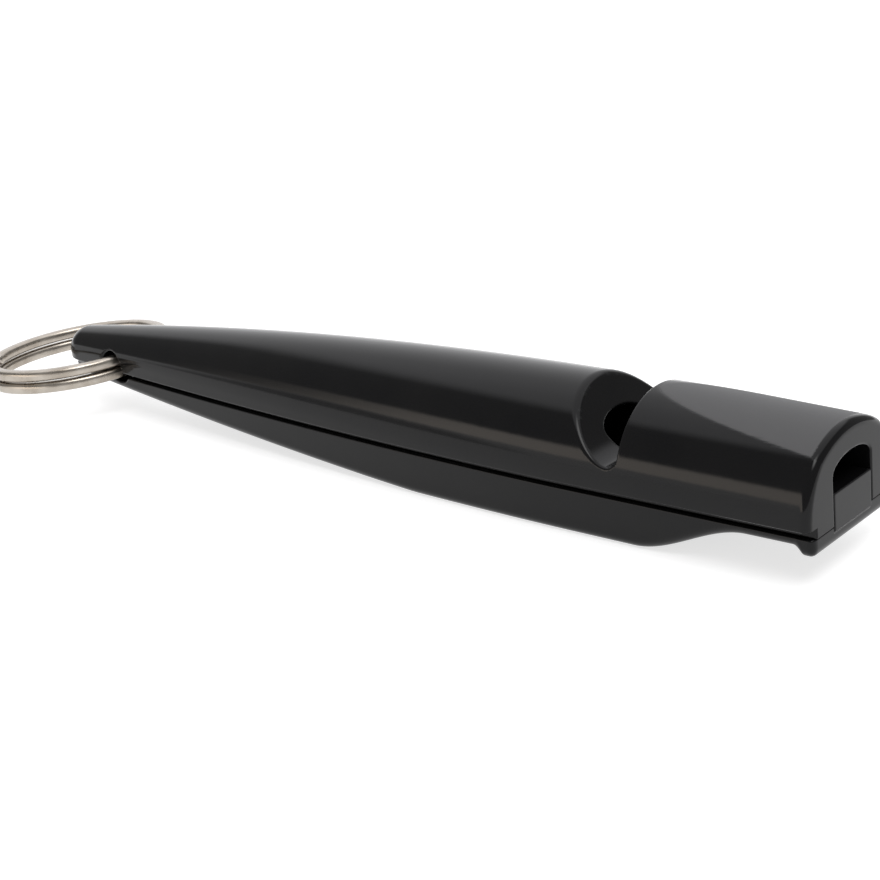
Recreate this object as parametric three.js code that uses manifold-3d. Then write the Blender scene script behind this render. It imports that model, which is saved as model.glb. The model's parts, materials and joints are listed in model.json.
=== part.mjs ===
import * as THREE from 'three';
import { mergeVertices } from 'three/addons/utils/BufferGeometryUtils.js';
import Module from 'manifold-3d';

// A pealess dog whistle: two plastic mouldings bonded along a groove, and a steel split ring.
// Millimetres, +Z up, +X towards the mouthpiece. The whistle lies on the flat of its keel at z = 0.
// Lengths along the body run back from the mouth face, and heights run up from the groove.

// Outer form of the body
const BODY_LENGTH = 84.5;
const BODY_WIDTH = 12.6;
const TAIL_WIDTH = 3.4;
const WIDTH_TAPER_POWER = 1.7;
const BARREL_HEIGHT = 6.7;
const MOUTH_HEIGHT = 6.2;
const TAIL_HEIGHT = 2.8;
const HEIGHT_TAPER_POWER = 2.1;
const MOUTH_ROOF_RADIUS = 8.1;
const MOUTH_EDGE_ROUND = 0.65;
const NOSE_LENGTH = 2.4;

// Windway, window and resonating chamber
const WINDWAY_LENGTH = 15.8;
const WINDWAY_WIDTH = 5.3;
const WINDWAY_FLOOR = 1.8;
const WINDWAY_SHOULDER = 3.0;
const WINDWAY_TOP = 4.15;
const WINDOW_LENGTH = 5.4;
const WINDOW_BOTTOM = 2.05;
const WINDOW_CORNER = 0.8;
const WINDOW_RAMP_FOOT = 2.7;
const CHAMBER_LENGTH = 16.5;
const CHAMBER_FLOOR_WALL = 1.2;

// Groove and bond between the two mouldings
const GROOVE_RISE = 0.2;
const GROOVE_DROP = 0.65;
const LAND_INSET = 0.4;
const BOND_FILM = 0.05;
const TONGUE_CLEARANCE = 0.25;

// Keel under the groove
const KEEL_DEPTH = 4.3;
const KEEL_INSET = 0.85;
const KEEL_EDGE_ROUND = 0.8;
const BELLY_START = 15.3;
const BELLY_LENGTH = 21.7;
const TAIL_DEPTH = 1.45;
const DEPTH_TAPER_POWER = 1.1;
const RECESS_DEPTH = 1.45;
const RECESS_START = 1.9;
const RECESS_LENGTH = 3.7;
const LIP_DEPTH = 2.1;
const LIP_LENGTH = 1.0;
const LIP_EDGE_ROUND = 0.3;

// Split ring and its hole through the tail
const RING_MEAN_RADIUS = 8.4;
const WIRE_WIDTH = 1.25;
const WIRE_HEIGHT = 0.9;
const WIRE_SQUARENESS = 0.6;
const COIL_GAP = 0.45;
const JOG_SPAN = THREE.MathUtils.degToRad(24);
const JOG_END_GAP = THREE.MathUtils.degToRad(3);
const JOG_DIRECTION = THREE.MathUtils.degToRad(-130);
const HOLE_FROM_TIP = 8.3;
const HOLE_HEIGHT = 0.4;
const HOLE_CLEARANCE = 0.2;
const RING_REST_TILT = THREE.MathUtils.degToRad(4.5);

// Number of facets
const ARCH_SEGMENTS = 28;
const BARREL_STATIONS = 24;
const MOUTHPIECE_STATIONS = 6;
const KEEL_TAIL_STATIONS = 18;
const KEEL_CURVE_STATIONS = 9;
const ROUND_STATIONS = 6;
const EDGE_SEGMENTS = 5;
const HOLE_SEGMENTS = 32;
const CUT_SEGMENTS = 14;
const WIRE_SIDES = 10;
const STEPS_PER_TURN = 48;
const NOSE_LAST_ANGLE = THREE.MathUtils.degToRad(80);

// Heights above the floor and places along the body that several pieces share
const GROOVE_Z = KEEL_DEPTH;
const SHELL_BOTTOM = GROOVE_Z + GROOVE_RISE;
const KEEL_TOP = GROOVE_Z - GROOVE_DROP;
const TONGUE_ROOT = KEEL_TOP - LAND_INSET;
const TAIL_TIP = -BODY_LENGTH;
const WINDOW_FRONT = -WINDWAY_LENGTH;
const WINDOW_BACK = WINDOW_FRONT - WINDOW_LENGTH;
const CHAMBER_END = WINDOW_FRONT - CHAMBER_LENGTH;
const BELLY_END = -(BELLY_START + BELLY_LENGTH);
const HOLE_X = TAIL_TIP + HOLE_FROM_TIP;
const HOLE_Z = GROOVE_Z + HOLE_HEIGHT;
const LEAST_STRAIGHT_SIDE = 0.05;
const LEAST_KEEL_FLAT = 0.1;
const OVERCUT = 1;
const MERGE_DISTANCE = 1e-4;
const LEAST_STATION_STEP = 1e-3;

const wasm = await Module();
wasm.setup();

const { clamp, lerp, smoothstep } = THREE.MathUtils;

// Profiles along the body, as functions of x

function taper(x, start, power) {
  return clamp((start - x) / (start - TAIL_TIP), 0, 1) ** power;
}

function halfWidth(x) {
  return lerp(BODY_WIDTH, TAIL_WIDTH, taper(x, WINDOW_BACK, WIDTH_TAPER_POWER)) / 2;
}

function archTop(x) {
  return GROOVE_Z + lerp(BARREL_HEIGHT, TAIL_HEIGHT, taper(x, WINDOW_BACK, HEIGHT_TAPER_POWER));
}

// The barrel's arch is a half circle where it is high enough for one, and else a half ellipse
function archShoulder(x) {
  return Math.max(archTop(x) - halfWidth(x), SHELL_BOTTOM + LEAST_STRAIGHT_SIDE);
}

// The mouthpiece has a flatter roof that slopes down to the mouth, and meets the barrel's arch in a crease
function mouthRoof(x, y) {
  if (x < WINDOW_FRONT) return Infinity;
  const sag = MOUTH_ROOF_RADIUS - Math.sqrt(Math.max(MOUTH_ROOF_RADIUS ** 2 - y ** 2, 0));
  return GROOVE_Z + lerp(MOUTH_HEIGHT, BARREL_HEIGHT, x / WINDOW_FRONT) - sag;
}

function keelDepth(x) {
  if (x < BELLY_END) return lerp(KEEL_DEPTH, TAIL_DEPTH, taper(x, BELLY_END, DEPTH_TAPER_POWER));
  const recessEnd = -(RECESS_START + RECESS_LENGTH);
  if (x < recessEnd) return lerp(KEEL_DEPTH, RECESS_DEPTH, smoothstep(x, -BELLY_START, recessEnd));
  const lip = lerp(RECESS_DEPTH, LIP_DEPTH, smoothstep(x, -RECESS_START, -LIP_LENGTH));
  return lip - roundInset(x, LIP_EDGE_ROUND);
}

// How far a rounded front edge of the given radius draws in at x
function roundInset(x, radius) {
  const intoRound = clamp(x + radius, 0, radius);
  return radius - Math.sqrt(radius ** 2 - intoRound ** 2);
}

// Share of the full section that is left in the rounded nose at the tail
function noseScale(x) {
  const intoNose = clamp(1 - (x - TAIL_TIP) / NOSE_LENGTH, 0, 1);
  return Math.sqrt(1 - intoNose ** 2);
}

// Stations along x, from tail to mouth

function evenly(from, to, count) {
  return Array.from({ length: count + 1 }, (_, i) => lerp(from, to, i / count));
}

function noseStations() {
  const angles = evenly(NOSE_LAST_ANGLE, 0, ROUND_STATIONS);
  return angles.map((angle) => TAIL_TIP + NOSE_LENGTH * (1 - Math.sin(angle)));
}

function edgeStations(radius) {
  return evenly(0, Math.PI / 2, ROUND_STATIONS).map((angle) => radius * (Math.sin(angle) - 1));
}

function inOrder(...lists) {
  const sorted = lists.flat().sort((a, b) => a - b);
  return sorted.filter((x, i) => i === 0 || x - sorted[i - 1] > LEAST_STATION_STEP);
}

// Sections, as points (y, z) anticlockwise seen from +X

function arc(centreY, centreZ, radiusY, radiusZ, from, to, segments) {
  return evenly(from, to, segments).map((angle) => [
    centreY + radiusY * Math.cos(angle),
    centreZ + radiusZ * Math.sin(angle),
  ]);
}

function shellSection(x) {
  const scale = noseScale(x);
  const inset = roundInset(x, MOUTH_EDGE_ROUND);
  const width = (halfWidth(x) - inset) * scale;
  const shoulder = SHELL_BOTTOM + (archShoulder(x) - SHELL_BOTTOM) * scale;
  const top = SHELL_BOTTOM + (archTop(x) - inset - SHELL_BOTTOM) * scale;
  const arch = arc(0, shoulder, width, top - shoulder, 0, Math.PI, ARCH_SEGMENTS);
  const roofed = arch.map(([y, z]) => [y, clamp(mouthRoof(x, y) - inset, shoulder, z)]);
  return [[width, SHELL_BOTTOM], ...roofed, [-width, SHELL_BOTTOM]];
}

// The land under the shell is set back from the keel's sides, and its underside carries the bond
function landSection(x) {
  const width = halfWidth(x) - KEEL_INSET - LAND_INSET;
  const top = SHELL_BOTTOM + LAND_INSET;
  const bottom = KEEL_TOP + BOND_FILM;
  return [[-width, bottom], [width, bottom], [width, top], [-width, top]];
}

function keelSection(x) {
  const scale = noseScale(x);
  const width = (halfWidth(x) - roundInset(x, MOUTH_EDGE_ROUND) - KEEL_INSET) * scale;
  const height = (keelDepth(x) - GROOVE_DROP) * scale;
  const bottom = KEEL_TOP - height;
  const round = Math.min(KEEL_EDGE_ROUND * scale, height, width * (1 - LEAST_KEEL_FLAT));
  const left = arc(-width + round, bottom + round, round, round, -Math.PI, -Math.PI / 2, EDGE_SEGMENTS);
  const right = arc(width - round, bottom + round, round, round, -Math.PI / 2, 0, EDGE_SEGMENTS);
  return [...left, ...right, [width, KEEL_TOP], [-width, KEEL_TOP]];
}

// Solids

function solidOf(geometry) {
  geometry.deleteAttribute('normal');
  geometry.deleteAttribute('uv');
  const merged = mergeVertices(geometry, MERGE_DISTANCE);
  return new wasm.Manifold(new wasm.Mesh({
    numProp: 3,
    vertProperties: new Float32Array(merged.attributes.position.array),
    triVerts: new Uint32Array(merged.index.array),
  }));
}

// Skin over a run of equal-sized rings of points, closed by a fan over each end
function skin(rings) {
  const size = rings[0].length;
  const last = (rings.length - 1) * size;
  const index = [];
  for (let r = 0; r + 1 < rings.length; r++) {
    for (let k = 0; k < size; k++) {
      const a = r * size + k;
      const b = r * size + (k + 1) % size;
      index.push(a, b, a + size, b, b + size, a + size);
    }
  }
  for (let k = 1; k + 1 < size; k++) {
    index.push(0, k + 1, k, last, last + k, last + k + 1);
  }
  const geometry = new THREE.BufferGeometry();
  geometry.setAttribute('position', new THREE.Float32BufferAttribute(rings.flat(2), 3));
  geometry.setIndex(index);
  return geometry;
}

function loft(stations, sectionAt) {
  return solidOf(skin(stations.map((x) => sectionAt(x).map(([y, z]) => [x, y, z]))));
}

const PLAIN_EXTRUSION = { bevelEnabled: false, curveSegments: CUT_SEGMENTS };

// A prism of a shape drawn in (y, z), from one x to another
function prismAlongX(shape, from, to) {
  const geometry = new THREE.ExtrudeGeometry(shape, { ...PLAIN_EXTRUSION, depth: to - from });
  const yzx = new THREE.Matrix4().set(0, 0, 1, from, 1, 0, 0, 0, 0, 1, 0, 0, 0, 0, 0, 1);
  return solidOf(geometry.applyMatrix4(yzx));
}

// A prism of a shape drawn in (x, z), across the whole width of the body
function prismAcross(shape) {
  const depth = BODY_WIDTH + 2 * OVERCUT;
  const geometry = new THREE.ExtrudeGeometry(shape, { ...PLAIN_EXTRUSION, depth });
  return solidOf(geometry.rotateX(Math.PI / 2).translate(0, depth / 2, 0));
}

// Cuts that the mouldings share

// The windway and the chamber's roof: straight sides under a low elliptical arch, open below
function windwayCut() {
  const half = WINDWAY_WIDTH / 2;
  const shoulder = GROOVE_Z + WINDWAY_SHOULDER;
  const shape = new THREE.Shape();
  shape.moveTo(-half, KEEL_TOP - OVERCUT);
  shape.lineTo(half, KEEL_TOP - OVERCUT);
  shape.lineTo(half, shoulder);
  shape.absellipse(0, shoulder, half, WINDWAY_TOP - WINDWAY_SHOULDER, 0, Math.PI);
  return prismAlongX(shape, CHAMBER_END, OVERCUT);
}

// The window: an upright front wall, a rounded corner and a hollow ramp that rises to the barrel
function windowCut() {
  const top = archTop(WINDOW_BACK);
  const bottom = GROOVE_Z + WINDOW_BOTTOM;
  const cornerX = WINDOW_FRONT - WINDOW_CORNER;
  const shape = new THREE.Shape();
  shape.moveTo(WINDOW_FRONT, top + OVERCUT);
  shape.lineTo(WINDOW_FRONT, bottom + WINDOW_CORNER);
  shape.absarc(cornerX, bottom + WINDOW_CORNER, WINDOW_CORNER, 0, -Math.PI / 2, true);
  shape.quadraticCurveTo(WINDOW_FRONT - WINDOW_RAMP_FOOT, bottom, WINDOW_BACK, top);
  shape.lineTo(WINDOW_BACK, top + OVERCUT);
  return prismAcross(shape);
}

// The chamber's round-bottomed trough in the lower moulding
function chamberCut() {
  const radius = WINDWAY_WIDTH / 2;
  const centre = CHAMBER_FLOOR_WALL + radius;
  const shape = new THREE.Shape();
  shape.moveTo(radius, SHELL_BOTTOM + OVERCUT);
  shape.lineTo(-radius, SHELL_BOTTOM + OVERCUT);
  shape.absarc(0, centre, radius, Math.PI, 2 * Math.PI);
  return prismAlongX(shape, CHAMBER_END, WINDOW_FRONT);
}

// The hole clears both coils and the bow of the wire, whichever way the ring is turned
const STACK_HEIGHT = 2 * WIRE_HEIGHT + COIL_GAP;
const WIRE_BOW = RING_MEAN_RADIUS - Math.sqrt(RING_MEAN_RADIUS ** 2 - halfWidth(HOLE_X) ** 2);
const HOLE_RADIUS = Math.hypot(STACK_HEIGHT / 2, (WIRE_WIDTH + WIRE_BOW) / 2) + HOLE_CLEARANCE;

function ringHoleCut() {
  const geometry = new THREE.CylinderGeometry(HOLE_RADIUS, HOLE_RADIUS, BODY_WIDTH, HOLE_SEGMENTS);
  return solidOf(geometry.translate(HOLE_X, 0, HOLE_Z));
}

// The two mouldings

function upperShell() {
  const stations = inOrder(
    noseStations(),
    evenly(TAIL_TIP + NOSE_LENGTH, WINDOW_BACK, BARREL_STATIONS),
    evenly(WINDOW_FRONT, -MOUTH_EDGE_ROUND, MOUTHPIECE_STATIONS),
    edgeStations(MOUTH_EDGE_ROUND),
  );
  const landStations = inOrder(evenly(TAIL_TIP + NOSE_LENGTH, WINDOW_BACK, BARREL_STATIONS), [0]);
  return loft(stations, shellSection)
    .add(loft(landStations, landSection))
    .subtract(windwayCut())
    .subtract(windowCut())
    .subtract(ringHoleCut());
}

function lowerKeel() {
  const keelStations = inOrder(
    noseStations(),
    evenly(TAIL_TIP + NOSE_LENGTH, BELLY_END, KEEL_TAIL_STATIONS),
    evenly(-BELLY_START, -(RECESS_START + RECESS_LENGTH), KEEL_CURVE_STATIONS),
    evenly(-RECESS_START, -LIP_LENGTH, KEEL_CURVE_STATIONS),
    edgeStations(MOUTH_EDGE_ROUND),
    edgeStations(LIP_EDGE_ROUND),
  );
  return loft(keelStations, keelSection)
    .add(tongue())
    .subtract(chamberCut())
    .subtract(ringHoleCut());
}

// The tongue fills the shell's channel up to the floor of the windway
function tongue() {
  const width = WINDWAY_WIDTH - 2 * TONGUE_CLEARANCE;
  const top = GROOVE_Z + WINDWAY_FLOOR;
  const geometry = new THREE.BoxGeometry(WINDWAY_LENGTH, width, top - TONGUE_ROOT);
  return solidOf(geometry.translate(WINDOW_FRONT / 2, 0, (top + TONGUE_ROOT) / 2));
}

// Split ring: one wire wound for just under two turns, that jogs from the lower coil to the upper one

function wireAngles() {
  const start = JOG_SPAN / 2 + JOG_END_GAP;
  return evenly(start, 4 * Math.PI - start, 2 * STEPS_PER_TURN);
}

function coilHeight(angle) {
  const pitch = WIRE_HEIGHT + COIL_GAP;
  const jog = smoothstep(angle, 2 * Math.PI - JOG_SPAN / 2, 2 * Math.PI + JOG_SPAN / 2);
  return pitch * (jog - 0.5);
}

// Cosine or sine of a section between a circle and a rectangle
function softSquare(value) {
  return Math.sign(value) * Math.abs(value) ** WIRE_SQUARENESS;
}

function wireRing(angle) {
  const direction = angle + JOG_DIRECTION;
  return Array.from({ length: WIRE_SIDES }, (_, k) => {
    const around = (2 * Math.PI * (k + 0.5)) / WIRE_SIDES;
    const radius = RING_MEAN_RADIUS + (WIRE_WIDTH / 2) * softSquare(Math.sin(around));
    const height = coilHeight(angle) + (WIRE_HEIGHT / 2) * softSquare(Math.cos(around));
    return [radius * Math.cos(direction), radius * Math.sin(direction), height];
  });
}

// Least gap between one turn of the wire and the next, measured between the points of its skin
function leastCoilGap(rings) {
  const points = rings.map((ring) => ring.map((point) => new THREE.Vector3(...point)));
  let least = Infinity;
  for (let i = 0; i < points.length; i++) {
    for (let j = i + STEPS_PER_TURN / 2; j < points.length; j++) {
      for (const a of points[i]) {
        for (const b of points[j]) least = Math.min(least, a.distanceTo(b));
      }
    }
  }
  return least;
}

function splitRing() {
  const rings = wireAngles().map(wireRing);
  console.log(`split_ring: least gap between its turns ${leastCoilGap(rings).toFixed(3)} mm`);
  return solidOf(skin(rings));
}

// Assembly

const blackPlastic = new THREE.MeshStandardMaterial({ color: 0x17171a, roughness: 0.22, metalness: 0 });
const nickelSteel = new THREE.MeshStandardMaterial({ color: 0xb9b2a6, roughness: 0.25, metalness: 1 });

function meshOf(name, solid, material) {
  const { vertProperties, triVerts } = solid.getMesh();
  const geometry = new THREE.BufferGeometry();
  geometry.setAttribute('position', new THREE.BufferAttribute(new Float32Array(vertProperties), 3));
  geometry.setIndex(new THREE.BufferAttribute(new Uint32Array(triVerts), 1));
  geometry.computeVertexNormals();
  const mesh = new THREE.Mesh(geometry, material);
  mesh.name = name;
  return mesh;
}

const ring = meshOf('split_ring', splitRing(), nickelSteel);
ring.position.x = WIRE_BOW / 2 - RING_MEAN_RADIUS;

const ringPivot = new THREE.Group();
ringPivot.position.set(HOLE_X, 0, HOLE_Z);
ringPivot.rotation.y = -RING_REST_TILT;
ringPivot.add(ring);

const assembly = new THREE.Group();
assembly.add(meshOf('upper_shell', upperShell(), blackPlastic));
assembly.add(meshOf('lower_keel', lowerKeel(), blackPlastic));
assembly.add(ringPivot);

// The origin lies on the floor under the middle of the whole length
const box = new THREE.Box3().setFromObject(assembly, true);
assembly.position.x = -(box.min.x + box.max.x) / 2;

export default assembly;
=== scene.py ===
import json
import math

import bpy
import numpy as np
from mathutils import Matrix, Vector


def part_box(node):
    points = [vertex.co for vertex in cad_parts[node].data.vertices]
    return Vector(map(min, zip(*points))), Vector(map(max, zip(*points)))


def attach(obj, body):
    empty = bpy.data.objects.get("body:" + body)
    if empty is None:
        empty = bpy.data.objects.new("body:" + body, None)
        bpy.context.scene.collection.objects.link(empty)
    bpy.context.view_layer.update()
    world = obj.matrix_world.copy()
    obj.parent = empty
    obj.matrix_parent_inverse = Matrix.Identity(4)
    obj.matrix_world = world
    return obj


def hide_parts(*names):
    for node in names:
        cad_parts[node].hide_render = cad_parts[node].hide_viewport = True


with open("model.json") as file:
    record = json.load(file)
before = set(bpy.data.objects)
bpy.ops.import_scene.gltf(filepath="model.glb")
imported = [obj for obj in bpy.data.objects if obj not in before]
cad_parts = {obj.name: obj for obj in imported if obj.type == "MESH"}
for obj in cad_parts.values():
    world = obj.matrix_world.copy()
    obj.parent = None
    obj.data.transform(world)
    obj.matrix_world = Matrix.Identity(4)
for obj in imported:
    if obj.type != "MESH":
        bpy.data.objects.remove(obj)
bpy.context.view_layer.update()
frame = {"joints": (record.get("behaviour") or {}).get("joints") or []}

# A dog whistle of two glossy black mouldings with a nickel split ring through its tail.
# Sizes are in millimetres. Lengths run back from the mouth face, and heights run up from the groove.
MM = 0.001

# Outer form of the body
BODY_LENGTH = 84.5
BODY_WIDTH = 12.6
TAIL_WIDTH = 3.4
WIDTH_TAPER_POWER = 1.7
BARREL_HEIGHT = 6.7
MOUTH_HEIGHT = 6.2
TAIL_HEIGHT = 2.8
HEIGHT_TAPER_POWER = 2.1
MOUTH_ROOF_RADIUS = 8.1
MOUTH_EDGE_ROUND = 0.65
NOSE_LENGTH = 2.4

# Windway, window and resonating chamber
WINDWAY_LENGTH = 15.8
WINDWAY_WIDTH = 5.3
WINDWAY_FLOOR = 1.8
WINDWAY_SHOULDER = 3.0
WINDWAY_TOP = 4.15
WINDOW_LENGTH = 5.4
WINDOW_BOTTOM = 2.05
WINDOW_CORNER = 0.8
WINDOW_RAMP_FOOT = 2.7
CHAMBER_LENGTH = 16.5
CHAMBER_FLOOR_WALL = 1.2

# Groove and bond between the two mouldings
GROOVE_RISE = 0.2
GROOVE_DROP = 0.65
LAND_INSET = 0.4
BOND_FILM = 0.05

# Keel under the groove
KEEL_DEPTH = 4.3
KEEL_INSET = 0.85
KEEL_EDGE_ROUND = 0.8
BELLY_START = 15.3
BELLY_LENGTH = 21.7
TAIL_DEPTH = 1.45
DEPTH_TAPER_POWER = 1.1
RECESS_DEPTH = 1.45
RECESS_START = 1.9
RECESS_LENGTH = 3.7
LIP_DEPTH = 2.1
LIP_LENGTH = 1.0
LIP_EDGE_ROUND = 0.3

# Split ring and its hole through the tail
RING_MEAN_RADIUS = 8.4
WIRE_WIDTH = 1.25
STACK_HEIGHT = 2.25
JOG_SPAN = math.radians(24)
JOG_END_GAP = math.radians(3)
JOG_DIRECTION = math.radians(-130)
HOLE_FROM_TIP = 8.3
HOLE_HEIGHT = 0.4
HOLE_CLEARANCE = 0.2
RING_REST_TILT = math.radians(4.5)

# Small rounds that moulding and drawing leave, and the closer fits of the real pieces
SHELL_EDGE_ROUND = 0.1
KEEL_TOP_ROUND = 0.15
INNER_ROUND = 0.1
SLOT_EDGE_ROUND = 0.14
RAMP_EDGE_ROUND = 0.4
WALL_EDGE_ROUND = 0.16
HOLE_EDGE_ROUND = 0.25
TONGUE_CLEARANCE = 0.04
TURN_GAP = 0.12
WIRE_SQUARENESS = 0.72
WIRE_END_ROUND = 0.22

# Width of the change from the satin roof of the mouthpiece, with its painted sheen, to the glossy arch
CREASE_BLEND = 0.03

# Spacing of the grids that the mouldings are meshed on, and room for the finer parts of them
FINE_STEP = 0.13
COARSE_STEP = 0.7
CROSS_STEP = 0.15
SEAM_STEP = 0.06
SEAM_ROOM = 0.3
RAMP_ROOM = 1.0
WALL_ROOM = 0.6
LIP_ROOM = 0.5
GRID_MARGIN = 0.35

# Search for the surface from the grid
PROBE = 0.01
LONGEST_MOVE = 0.15
SETTLE_ROUNDS = 8
LEAST_NOSE_SCALE = 0.05
LEAST_ARCH_SHARE = 0.05
LEAST_STEEPNESS = 1e-6
LEAST_LENGTH = 1e-9

# Points on the ring's wire, and the least share of its girth at an end
TURN_POINTS = 180
WIRE_SIDES = 28
END_POINTS = 6
LEAST_END_SHARE = 0.15

# Colours
PLASTIC_DARK = (0.0038, 0.0038, 0.0042, 1)
PLASTIC_LIGHT = (0.0056, 0.0054, 0.0056, 1)
PLASTIC_WORN = (0.009, 0.009, 0.0095, 1)
# A lighter grey on the mouthpiece's satin roof, which paints the sheen that the roof catches
PLASTIC_SATIN_PAINTED_SHEEN = (0.078, 0.078, 0.08, 1)
NICKEL_DARK = (0.33, 0.29, 0.245, 1)
NICKEL_LIGHT = (0.46, 0.42, 0.37, 1)
PAPER_DARK = (0.5, 0.5, 0.5, 1)
PAPER_LIGHT = (0.52, 0.52, 0.52, 1)
BLACK = (0, 0, 0, 1)
WHITE = (1, 1, 1, 1)

# Floor and room. Each panel has an azimuth and elevation, a reach and a soft edge in degrees, and a radiance.
# It covers the panels before it, so a dark one takes light away.
FLOOR_REACH = 3000
FLOOR_GLOW = 0.7
ROOM_DARK = (0.32, 0.32, 0.32, 1)
PANELS = (
    ((122, 71), 40, 5, (1.4, 1.4, 1.43, 1)),
    ((135, 15), 36, 8, (1.25, 1.25, 1.27, 1)),
    ((-38, 64), 15, 6, (5.6, 5.6, 5.6, 1)),
    ((-131, -41), 60, 2, (2.9, 2.65, 2.4, 1)),
    ((-162, 12), 20, 10, ROOM_DARK),
    ((-136, -42.5), 50, 1, (1.4, 1.4, 1.4, 1)),
    ((-139, -5), 12, 2, (0.55, 0.55, 0.55, 1)),
)

# Camera: its place from the mouth face, its angles in degrees, and its focal length in pixels of the picture
CAMERA_PLACE = (58.61, -105.93, 52.05)
CAMERA_AZIMUTH = 42.35
CAMERA_ELEVATION = 20.47
CAMERA_ROLL = -6.19
CAMERA_FOCUS = 1852.5
CAMERA_NEAREST = 10
PICTURE_WIDTH = 880
SENSOR_WIDTH = 36.0

# Heights and places that several pieces share
SHELL_BOTTOM = GROOVE_RISE
KEEL_TOP = -GROOVE_DROP
TONGUE_ROOT = KEEL_TOP - LAND_INSET
LAND_BOTTOM = KEEL_TOP + BOND_FILM
HALF_WIDTH = BODY_WIDTH / 2
TAIL_TIP = -BODY_LENGTH
WINDOW_FRONT = -WINDWAY_LENGTH
WINDOW_BACK = WINDOW_FRONT - WINDOW_LENGTH
CHAMBER_END = WINDOW_FRONT - CHAMBER_LENGTH
BELLY_END = -(BELLY_START + BELLY_LENGTH)
RECESS_END = -(RECESS_START + RECESS_LENGTH)
HOLE_X = TAIL_TIP + HOLE_FROM_TIP
MOUTH_FACE = Vector((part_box("upper_shell")[1].x, 0, KEEL_DEPTH * MM))


# Profiles along the body

def lerp(a, b, share):
    return a + (b - a) * share


def smoothstep(x, low, high):
    share = np.clip((x - low) / (high - low), 0, 1)
    return share * share * (3 - 2 * share)


def taper(x, start, power):
    return np.clip((start - x) / (start - TAIL_TIP), 0, 1) ** power


def half_width(x):
    return lerp(BODY_WIDTH, TAIL_WIDTH, taper(x, WINDOW_BACK, WIDTH_TAPER_POWER)) / 2


def arch_top(x):
    return lerp(BARREL_HEIGHT, TAIL_HEIGHT, taper(x, WINDOW_BACK, HEIGHT_TAPER_POWER))


def arch_shoulder(x):
    return np.maximum(arch_top(x) - half_width(x), SHELL_BOTTOM)


def belly_depth(x):
    return lerp(KEEL_DEPTH, TAIL_DEPTH, taper(x, BELLY_END, DEPTH_TAPER_POWER))


def keel_depth(x):
    recess = lerp(KEEL_DEPTH, RECESS_DEPTH, smoothstep(x, -BELLY_START, RECESS_END))
    lip = lerp(RECESS_DEPTH, LIP_DEPTH, smoothstep(x, -RECESS_START, -LIP_LENGTH))
    return np.where(x < BELLY_END, belly_depth(x), np.where(x < RECESS_END, recess, lip))


def nose_scale(x):
    into_nose = np.clip(1 - (x - TAIL_TIP) / NOSE_LENGTH, 0, 1)
    return np.maximum(np.sqrt(1 - into_nose ** 2), LEAST_NOSE_SCALE)


# Fields: distance to a surface, negative inside the material

def round_max(a, b, radius):
    """Both fields at once, with a round of the radius along the edge where they meet."""
    corner = np.hypot(np.maximum(radius + a, 0), np.maximum(radius + b, 0))
    return np.minimum(-radius, np.maximum(a, b)) + corner


def arch_field(y, z, width, shoulder, height):
    """Straight sides up to the shoulder, and half an ellipse above it."""
    above = np.maximum(z - shoulder, 0)
    share = np.hypot(y / width, above / height)
    slope = np.hypot(y / width ** 2, above / height ** 2)
    near_axis = share < LEAST_ARCH_SHARE
    return np.where(near_axis, -width, share * (share - 1) / np.where(near_axis, 1, slope))


def windway_field(x, y, z):
    arch = arch_field(y, z, WINDWAY_WIDTH / 2, WINDWAY_SHOULDER, WINDWAY_TOP - WINDWAY_SHOULDER)
    return np.maximum(arch, CHAMBER_END - x)


def window_field(x, z):
    """The notch: an upright front wall, a rounded corner and a hollow ramp that rises to the barrel."""
    flat = WINDOW_RAMP_FOOT - WINDOW_CORNER
    bend = WINDOW_LENGTH - 2 * WINDOW_RAMP_FOOT + WINDOW_CORNER
    behind = np.maximum(WINDOW_FRONT - WINDOW_CORNER - x, 0)
    along = (np.sqrt(flat ** 2 + bend * behind) - flat) / bend
    rise = BARREL_HEIGHT - WINDOW_BOTTOM
    slope = 2 * rise * along / (2 * flat + 2 * bend * along)
    ramp_face = (WINDOW_BOTTOM + rise * along ** 2 - z) / np.hypot(1, slope)
    return round_max(ramp_face, x - WINDOW_FRONT, WINDOW_CORNER)


def hole_field(x, z):
    return np.hypot(x - HOLE_X, z - HOLE_HEIGHT) - HOLE_RADIUS


def barrel_field(x, y, z):
    scale = nose_scale(x)
    shoulder = arch_shoulder(x)
    lifted = SHELL_BOTTOM + (z - SHELL_BOTTOM) / scale
    return arch_field(y / scale, lifted, half_width(x), shoulder, arch_top(x) - shoulder) * scale


def roof_field(x, y, z):
    top = lerp(MOUTH_HEIGHT, BARREL_HEIGHT, x / WINDOW_FRONT)
    return np.hypot(y, z - top + MOUTH_ROOF_RADIUS) - MOUTH_ROOF_RADIUS


def land_field(x, y, z):
    ends = np.maximum(x, TAIL_TIP + NOSE_LENGTH - x)
    sides = np.abs(y) - half_width(x) + KEEL_INSET + LAND_INSET
    plan = round_max(sides, ends, INNER_ROUND)
    return np.maximum(plan, np.maximum(z - SHELL_BOTTOM - LAND_INSET, LAND_BOTTOM - z))


def shell_field(x, y, z):
    outside = np.maximum(np.maximum(barrel_field(x, y, z), roof_field(x, y, z)), TAIL_TIP - x)
    above_groove = round_max(outside, SHELL_BOTTOM - z, SHELL_EDGE_ROUND)
    field = np.maximum(above_groove, round_max(outside, x, MOUTH_EDGE_ROUND))
    field = np.minimum(field, land_field(x, y, z))
    field = round_max(field, -windway_field(x, y, z), SLOT_EDGE_ROUND)
    edge = lerp(RAMP_EDGE_ROUND, WALL_EDGE_ROUND, smoothstep(x, WINDOW_BACK, WINDOW_FRONT))
    field = round_max(field, -window_field(x, z), edge)
    return round_max(field, -hole_field(x, z), HOLE_EDGE_ROUND)


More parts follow.
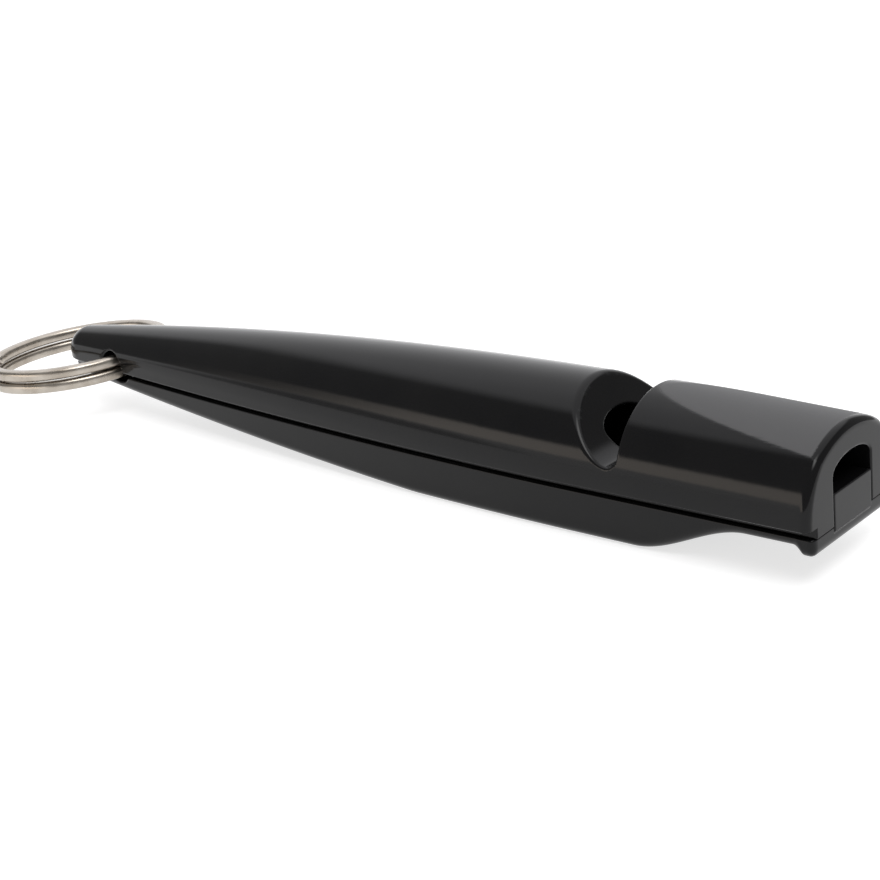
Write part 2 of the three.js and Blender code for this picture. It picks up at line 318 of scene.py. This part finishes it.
def keel_body_field(x, y, z, scale):
    slope = (keel_depth(x + PROBE) - keel_depth(x - PROBE)) / (2 * PROBE)
    lowered = KEEL_TOP + (z - KEEL_TOP) / scale
    below = (-keel_depth(x) - lowered) * scale / np.hypot(1, slope)
    side = np.abs(y) - (half_width(x) - KEEL_INSET) * scale
    plan = round_max(side, x, MOUTH_EDGE_ROUND)
    field = round_max(plan, below, KEEL_EDGE_ROUND * scale)
    field = round_max(field, x, LIP_EDGE_ROUND)
    return round_max(field, z - KEEL_TOP, KEEL_TOP_ROUND)


def tongue_field(x, y, z):
    sides = np.abs(y) - WINDWAY_WIDTH / 2 + TONGUE_CLEARANCE
    top = round_max(sides, z - WINDWAY_FLOOR, INNER_ROUND)
    ends = round_max(top, x, INNER_ROUND)
    return np.maximum(np.maximum(ends, WINDOW_FRONT - x), TONGUE_ROOT - z)


def chamber_field(x, y, z):
    radius = WINDWAY_WIDTH / 2
    centre = CHAMBER_FLOOR_WALL + radius - KEEL_DEPTH
    trough = np.hypot(y, np.minimum(z - centre, 0)) - radius
    return np.maximum(trough, np.maximum(x - WINDOW_FRONT, CHAMBER_END - x))


def keel_field(x, y, z):
    scale = nose_scale(x)
    field = np.minimum(keel_body_field(x, y, z, scale), tongue_field(x, y, z))
    field = np.maximum(field, TAIL_TIP - x)
    field = round_max(field, -chamber_field(x, y, z), INNER_ROUND)
    return round_max(field, -hole_field(x, z), HOLE_EDGE_ROUND)


# The hole clears both turns and the bow of the wire, whichever way the ring is turned
WIRE_BOW = RING_MEAN_RADIUS - math.sqrt(RING_MEAN_RADIUS ** 2 - half_width(HOLE_X) ** 2)
HOLE_RADIUS = math.hypot(STACK_HEIGHT / 2, (WIRE_WIDTH + WIRE_BOW) / 2) + HOLE_CLEARANCE


# Grids that follow the taper, so that edges along the body stay on one row of faces

def steps(*stops):
    """Values from stop to stop, each (start, step), the last with its start only."""
    runs = []
    for (start, step), (end, _) in zip(stops, stops[1:]):
        count = max(1, round(abs(end - start) / step))
        runs.append(np.linspace(start, end, count, endpoint=False))
    return np.concatenate(runs + [[stops[-1][0]]])


def along_body():
    hole_room = HOLE_RADIUS + 2 * HOLE_EDGE_ROUND
    return steps(
        (TAIL_TIP - GRID_MARGIN, FINE_STEP),
        (TAIL_TIP + NOSE_LENGTH, 2 * FINE_STEP),
        (HOLE_X - hole_room, FINE_STEP),
        (HOLE_X + hole_room, COARSE_STEP),
        (WINDOW_BACK - RAMP_ROOM, FINE_STEP),
        (WINDOW_FRONT + WALL_ROOM, 2 * FINE_STEP),
        (RECESS_END, COARSE_STEP),
        (-RECESS_START - LIP_ROOM, FINE_STEP),
        (GRID_MARGIN, FINE_STEP),
    )


def across_body():
    reach = HALF_WIDTH + GRID_MARGIN
    return steps((-reach, CROSS_STEP), (reach, CROSS_STEP))


def up_shell():
    return steps(
        (KEEL_TOP - GRID_MARGIN, SEAM_STEP),
        (SHELL_BOTTOM + SEAM_ROOM, CROSS_STEP),
        (BARREL_HEIGHT + GRID_MARGIN, CROSS_STEP),
    )


def up_keel():
    return steps(
        (-KEEL_DEPTH - GRID_MARGIN, CROSS_STEP),
        (KEEL_TOP - SEAM_ROOM, SEAM_STEP),
        (KEEL_TOP + SEAM_ROOM, CROSS_STEP),
        (WINDWAY_FLOOR + GRID_MARGIN, CROSS_STEP),
    )


def shell_place(x, across, up):
    tapered = (arch_top(x) - SHELL_BOTTOM) / (BARREL_HEIGHT - SHELL_BOTTOM)
    stretch = np.where(up < SHELL_BOTTOM, 1, tapered)
    return x, across * half_width(x) / HALF_WIDTH, SHELL_BOTTOM + (up - SHELL_BOTTOM) * stretch


def keel_place(x, across, up):
    tapered = (belly_depth(x) - GROOVE_DROP) / (KEEL_DEPTH - GROOVE_DROP)
    stretch = np.where(up < KEEL_TOP, tapered, 1)
    return x, across * half_width(x) / HALF_WIDTH, KEEL_TOP + (up - KEEL_TOP) * stretch


def surface(field, place, xs, ys, zs):
    """Skin of the field on a grid: one point in each crossed cell, and one face for each crossed edge."""
    points = np.stack(place(*np.meshgrid(xs, ys, zs, indexing="ij")), axis=-1)
    value = field(*np.moveaxis(points, -1, 0))
    cells = tuple(n - 1 for n in value.shape)
    total = np.zeros(cells + (3,))
    count = np.zeros(cells)
    crossings = []
    for axis in range(3):
        low = tuple(slice(None, -1) if k == axis else slice(None) for k in range(3))
        high = tuple(slice(1, None) if k == axis else slice(None) for k in range(3))
        crossed = (value[low] < 0) != (value[high] < 0)
        crossings.append(crossed)
        share = np.where(crossed, value[low] / np.where(crossed, value[low] - value[high], 1), 0)
        met = lerp(points[low], points[high], share[..., None])
        b, c = (axis + 1) % 3, (axis + 2) % 3
        for shift_b in (0, 1):
            for shift_c in (0, 1):
                part = [slice(None)] * 3
                part[b] = slice(shift_b, shift_b + cells[b])
                part[c] = slice(shift_c, shift_c + cells[c])
                part = tuple(part)
                total += met[part] * crossed[part][..., None]
                count += crossed[part]
    live = count > 0
    index = np.full(cells, -1)
    index[live] = np.arange(np.count_nonzero(live))
    faces = []
    for axis, crossed in enumerate(crossings):
        b, c = (axis + 1) % 3, (axis + 2) % 3
        where = np.argwhere(crossed)
        inside = value[tuple(where.T)] < 0
        corners = []
        for back_b, back_c in ((1, 1), (0, 1), (0, 0), (1, 0)):
            cell = where.copy()
            cell[:, b] -= back_b
            cell[:, c] -= back_c
            corners.append(index[tuple(cell.T)])
        quads = np.stack(corners, axis=1)
        faces.append(np.where(inside[:, None], quads, quads[:, ::-1]))
    return total[live] / count[live][:, None], np.concatenate(faces)


def gradient(field, points):
    columns = []
    for axis in range(3):
        probe = np.zeros(3)
        probe[axis] = PROBE
        ahead = field(*(points + probe).T)
        behind = field(*(points - probe).T)
        columns.append((ahead - behind) / (2 * PROBE))
    return np.stack(columns, axis=1)


def settle(field, points):
    """Moves each point onto the surface along the steepest way, and returns it with its normal."""
    for _ in range(SETTLE_ROUNDS):
        slope = gradient(field, points)
        steep = np.maximum((slope ** 2).sum(axis=1, keepdims=True), LEAST_STEEPNESS)
        move = field(*points.T)[:, None] * slope / steep
        length = np.linalg.norm(move, axis=1, keepdims=True)
        points = points - move * np.minimum(1, LONGEST_MOVE / np.maximum(length, LEAST_LENGTH))
    slope = gradient(field, points)
    return points, slope / np.maximum(np.linalg.norm(slope, axis=1, keepdims=True), LEAST_LENGTH)


def new_object(name, points, faces, material):
    mesh = bpy.data.meshes.new(name)
    mesh.from_pydata(points.tolist(), [], faces)
    mesh.update()
    mesh.polygons.foreach_set("use_smooth", np.ones(len(mesh.polygons), dtype=bool))
    mesh.materials.append(material)
    obj = bpy.data.objects.new(name, mesh)
    bpy.context.scene.collection.objects.link(obj)
    return obj


def satin_and_sheen_roof(x, y, z):
    """1 on the finer textured roof of the mouthpiece and 0 elsewhere. The material makes this roof rougher
    and paints a lighter grey on it as sheen.
    """
    above_crease = smoothstep(roof_field(x, y, z) - barrel_field(x, y, z), 0, CREASE_BLEND)
    return above_crease * (x > WINDOW_FRONT) * (x < -MOUTH_EDGE_ROUND) * (z > WINDWAY_TOP)


def moulding(name, field, place, ups, material):
    points, faces = surface(field, place, along_body(), across_body(), ups)
    points, normals = settle(field, points)
    obj = new_object(name, points * MM + np.array(MOUTH_FACE), faces.tolist(), material)
    obj.data.normals_split_custom_set_from_vertices(normals.tolist())
    # Mask of the satin roof: the material makes it rougher and paints a lighter grey sheen on it
    satin_and_sheen = obj.data.attributes.new("satin_and_sheen", "FLOAT", "POINT")
    satin_and_sheen.data.foreach_set("value", satin_and_sheen_roof(*points.T))
    return obj


# Split ring

def coil_height(angle, pitch):
    start = 2 * math.pi - JOG_SPAN / 2
    return pitch * (smoothstep(angle, start, start + JOG_SPAN) - 0.5)


def soft_square(value):
    return np.sign(value) * np.abs(value) ** WIRE_SQUARENESS


def wire_angles(start, end):
    """Angles along the wire, closer together where its ends are rounded, and how full the wire is there."""
    closing = WIRE_END_ROUND / RING_MEAN_RADIUS
    rounding = closing * (1 - np.cos(np.linspace(0, math.pi / 2, END_POINTS)))[:-1]
    run = np.linspace(start + closing, end - closing, 2 * TURN_POINTS + 1)
    angles = np.concatenate([start + rounding, run, (end - rounding)[::-1]])
    from_end = np.minimum(angles - start, end - angles) / closing
    missing = np.clip(1 - from_end, 0, 1)
    return angles, np.sqrt(np.clip(1 - missing ** 2, LEAST_END_SHARE, 1))


def wire_faces(rings):
    """Quads between neighbouring rings of points, and a cap on each end of the wire."""
    rows = np.arange(rings - 1)[:, None] * WIRE_SIDES
    column = np.arange(WIRE_SIDES)
    following = (column + 1) % WIRE_SIDES
    corners = [rows + column, rows + following, rows + following + WIRE_SIDES, rows + column + WIRE_SIDES]
    quads = np.stack(corners, axis=-1).reshape(-1, 4).tolist()
    first_cap = column[::-1].tolist()
    last_cap = ((rings - 1) * WIRE_SIDES + column).tolist()
    return quads + [first_cap, last_cap]


def split_ring(name, material):
    """One wire wound for just under two turns, with rounded ends, and its length and girth as a UV map."""
    wire_height = (STACK_HEIGHT - TURN_GAP) / 2
    pitch = wire_height + TURN_GAP
    start = JOG_SPAN / 2 + JOG_END_GAP
    angles, full = wire_angles(start, 4 * math.pi - start)
    around = np.linspace(0, 2 * math.pi, WIRE_SIDES, endpoint=False)
    half_out = WIRE_WIDTH / 2 - WIRE_END_ROUND * (1 - full)
    half_up = wire_height / 2 - WIRE_END_ROUND * (1 - full)
    radius = RING_MEAN_RADIUS + half_out[:, None] * soft_square(np.sin(around))
    height = coil_height(angles, pitch)[:, None] + half_up[:, None] * soft_square(np.cos(around))
    direction = (angles + JOG_DIRECTION)[:, None]
    points = np.stack([radius * np.cos(direction), radius * np.sin(direction), height], axis=-1)
    pivot = Vector(frame["joints"][0]["pos_m"])
    offset = Matrix.Translation((WIRE_BOW / 2 - RING_MEAN_RADIUS, 0, 0))
    turn = Matrix.Rotation(-RING_REST_TILT, 4, "Y")
    place = np.array(Matrix.Translation(pivot) @ turn @ Matrix.Scale(MM, 4) @ offset)
    placed = points.reshape(-1, 3) @ place[:3, :3].T + place[:3, 3]
    obj = new_object(name, placed, wire_faces(len(angles)), material)
    mesh = obj.data
    layer = mesh.uv_layers.new(name="wire")
    loops = np.zeros(len(mesh.loops), dtype=np.int64)
    mesh.loops.foreach_get("vertex_index", loops)
    length = (angles[loops // WIRE_SIDES] - start) * RING_MEAN_RADIUS
    girth = (loops % WIRE_SIDES) / WIRE_SIDES
    layer.data.foreach_set("uv", np.stack([length, girth], axis=1).ravel())
    return obj


# Materials

def node(tree, kind, inputs=None, **settings):
    """A node with its settings made, and its inputs linked to sockets or set to values."""
    made = tree.nodes.new(kind)
    for key, value in settings.items():
        setattr(made, key, value)
    for key, value in (inputs or {}).items():
        if isinstance(value, bpy.types.NodeSocket):
            tree.links.new(value, made.inputs[key])
        else:
            made.inputs[key].default_value = value
    return made


def noise(tree, place, scale, detail):
    inputs = {"Vector": place, "Scale": scale, "Detail": detail}
    return node(tree, "ShaderNodeTexNoise", inputs).outputs["Fac"]


def ramp(tree, share, low, high, at=(0.0, 1.0)):
    """A colour that goes from low to high while the share goes from at[0] to at[1]."""
    made = node(tree, "ShaderNodeValToRGB", {"Fac": share})
    for element, place, colour in zip(made.color_ramp.elements, at, (low, high)):
        element.position = place
        element.color = colour
    return made.outputs["Color"]


def mix(tree, share, a, b):
    inputs = {"Factor": share, "A": a, "B": b}
    return node(tree, "ShaderNodeMix", inputs, data_type="RGBA").outputs["Result"]


def add_share(tree, share, amount, base):
    """The base, which may vary too, with an amount of the share added."""
    inputs = {0: share, 1: amount, 2: base}
    return node(tree, "ShaderNodeMath", inputs, operation="MULTIPLY_ADD").outputs[0]


def bump(tree, height, strength, depth, **under):
    inputs = {"Height": height, "Strength": strength, "Distance": depth * MM, **under}
    return node(tree, "ShaderNodeBump", inputs).outputs["Normal"]


def new_material(name):
    material = bpy.data.materials.new(name)
    material.use_nodes = True
    return material, material.node_tree, material.node_tree.nodes["Principled BSDF"]


def black_plastic():
    """Glossy moulded plastic: faint flow in its colour and gloss, fine ripple, handling wear on edges, and a
    rougher satin roof on the mouthpiece with a painted sheen of lighter grey.
    """
    material, tree, shader = new_material("black_plastic")
    place = node(tree, "ShaderNodeTexCoord").outputs["Object"]
    flow = noise(tree, place, scale=160, detail=4)
    grain = noise(tree, place, scale=2600, detail=3)
    ripple = noise(tree, place, scale=420, detail=2)
    satin_and_sheen = node(tree, "ShaderNodeAttribute", attribute_name="satin_and_sheen").outputs["Fac"]
    sharpness = node(tree, "ShaderNodeNewGeometry").outputs["Pointiness"]
    wear = ramp(tree, sharpness, BLACK, WHITE, at=(0.53, 0.62))
    tint = ramp(tree, flow, PLASTIC_DARK, PLASTIC_LIGHT, at=(0.3, 0.7))
    rubbed = mix(tree, wear, tint, PLASTIC_WORN)
    rough = add_share(tree, flow, amount=0.06, base=0.05)
    rough = add_share(tree, grain, amount=0.05, base=rough)
    rough = add_share(tree, wear, amount=0.06, base=rough)
    rough = add_share(tree, satin_and_sheen, amount=0.4, base=rough)
    swell = bump(tree, ripple, strength=0.03, depth=0.2)
    skin = bump(tree, grain, strength=0.03, depth=0.03, Normal=swell)
    # A lighter grey on the satin roof: painted sheen. The extra roughness above is the roof's real finish.
    tree.links.new(mix(tree, satin_and_sheen, rubbed, PLASTIC_SATIN_PAINTED_SHEEN), shader.inputs["Base Color"])
    tree.links.new(rough, shader.inputs["Roughness"])
    tree.links.new(skin, shader.inputs["Normal"])
    shader.inputs["Specular IOR Level"].default_value = 0.2
    return material


def nickel():
    """Bright nickel plate on drawn wire: fine lines along the wire, and a little tarnish."""
    material, tree, shader = new_material("nickel_plate")
    wire = node(tree, "ShaderNodeUVMap", uv_map="wire").outputs["UV"]
    drawn = node(tree, "ShaderNodeMapping", {"Vector": wire, "Scale": (0.25, 60, 1)}).outputs["Vector"]
    lines = noise(tree, drawn, scale=1, detail=4)
    place = node(tree, "ShaderNodeTexCoord").outputs["Object"]
    patches = noise(tree, place, scale=500, detail=5)
    tint = ramp(tree, patches, NICKEL_DARK, NICKEL_LIGHT, at=(0.3, 0.65))
    tree.links.new(tint, shader.inputs["Base Color"])
    tree.links.new(add_share(tree, patches, amount=0.16, base=0.2), shader.inputs["Roughness"])
    tree.links.new(bump(tree, lines, strength=0.12, depth=0.04), shader.inputs["Normal"])
    shader.inputs["Metallic"].default_value = 1
    return material


def light_table():
    """White paper on a table that is lit from below, so that shadows on it stay faint."""
    material, tree, shader = new_material("light_table")
    place = node(tree, "ShaderNodeTexCoord").outputs["Object"]
    fibre = noise(tree, place, scale=900, detail=3)
    tree.links.new(ramp(tree, fibre, PAPER_DARK, PAPER_LIGHT), shader.inputs["Base Color"])
    shader.inputs["Roughness"].default_value = 0.9
    shader.inputs["Specular IOR Level"].default_value = 0.1
    shader.inputs["Emission Color"].default_value = WHITE
    shader.inputs["Emission Strength"].default_value = FLOOR_GLOW
    return material


# Pieces

plastic = black_plastic()

shell = moulding("moulded_shell", shell_field, shell_place, up_shell(), plastic)
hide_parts("upper_shell")
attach(shell, "whistle")

keel = moulding("moulded_keel", keel_field, keel_place, up_keel(), plastic)
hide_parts("lower_keel")
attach(keel, "whistle")

ring = split_ring("nickel_split_ring", nickel())
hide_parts("split_ring")
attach(ring, "ring")


# Floor, light and camera

def white_floor():
    corners = np.array([(-1, -1, 0), (1, -1, 0), (1, 1, 0), (-1, 1, 0)]) * FLOOR_REACH * MM
    floor = new_object("floor", corners, [(0, 1, 2, 3)], light_table())


def towards(azimuth, elevation):
    """Direction at the azimuth from +X, turned towards +Y, and the elevation, both in degrees."""
    turn, rise = math.radians(azimuth), math.radians(elevation)
    return (math.cos(rise) * math.cos(turn), math.cos(rise) * math.sin(turn), math.sin(rise))


def panel_share(tree, direction, centre, reach, edge):
    """1 for a direction inside a round panel of light and 0 outside it, with a soft edge."""
    inputs = {0: direction, 1: towards(*centre)}
    nearness = node(tree, "ShaderNodeVectorMath", inputs, operation="DOT_PRODUCT").outputs["Value"]
    inputs = {
        "Value": nearness,
        "From Min": math.cos(math.radians(reach + edge)),
        "From Max": math.cos(math.radians(reach - edge)),
    }
    return node(tree, "ShaderNodeMapRange", inputs, interpolation_type="SMOOTHSTEP").outputs["Result"]


def studio_room():
    """A dim room with light behind and over the object, a low warm strip beside it and a white backdrop."""
    world = bpy.data.worlds.new("studio")
    bpy.context.scene.world = world
    world.use_nodes = True
    tree = world.node_tree
    direction = node(tree, "ShaderNodeTexCoord").outputs["Generated"]
    light = ROOM_DARK
    for centre, reach, edge, radiance in PANELS:
        light = mix(tree, panel_share(tree, direction, centre, reach, edge), light, radiance)
    seen = node(tree, "ShaderNodeLightPath").outputs["Is Camera Ray"]
    tree.links.new(mix(tree, seen, light, WHITE), tree.nodes["Background"].inputs["Color"])


def photo_camera():
    camera = bpy.data.cameras.new("camera")
    camera.sensor_width = SENSOR_WIDTH
    camera.lens = CAMERA_FOCUS * SENSOR_WIDTH / PICTURE_WIDTH
    camera.clip_start = CAMERA_NEAREST * MM
    obj = bpy.data.objects.new("camera", camera)
    azimuth = Matrix.Rotation(math.radians(CAMERA_AZIMUTH), 4, "Z")
    elevation = Matrix.Rotation(math.radians(90 - CAMERA_ELEVATION), 4, "X")
    roll = Matrix.Rotation(math.radians(CAMERA_ROLL), 4, "Z")
    place = Matrix.Translation(MOUTH_FACE + Vector(CAMERA_PLACE) * MM)
    obj.matrix_world = place @ azimuth @ elevation @ roll
    bpy.context.scene.collection.objects.link(obj)
    bpy.context.scene.camera = obj


white_floor()
studio_room()
photo_camera()
bpy.context.scene.view_settings.view_transform = "Standard"
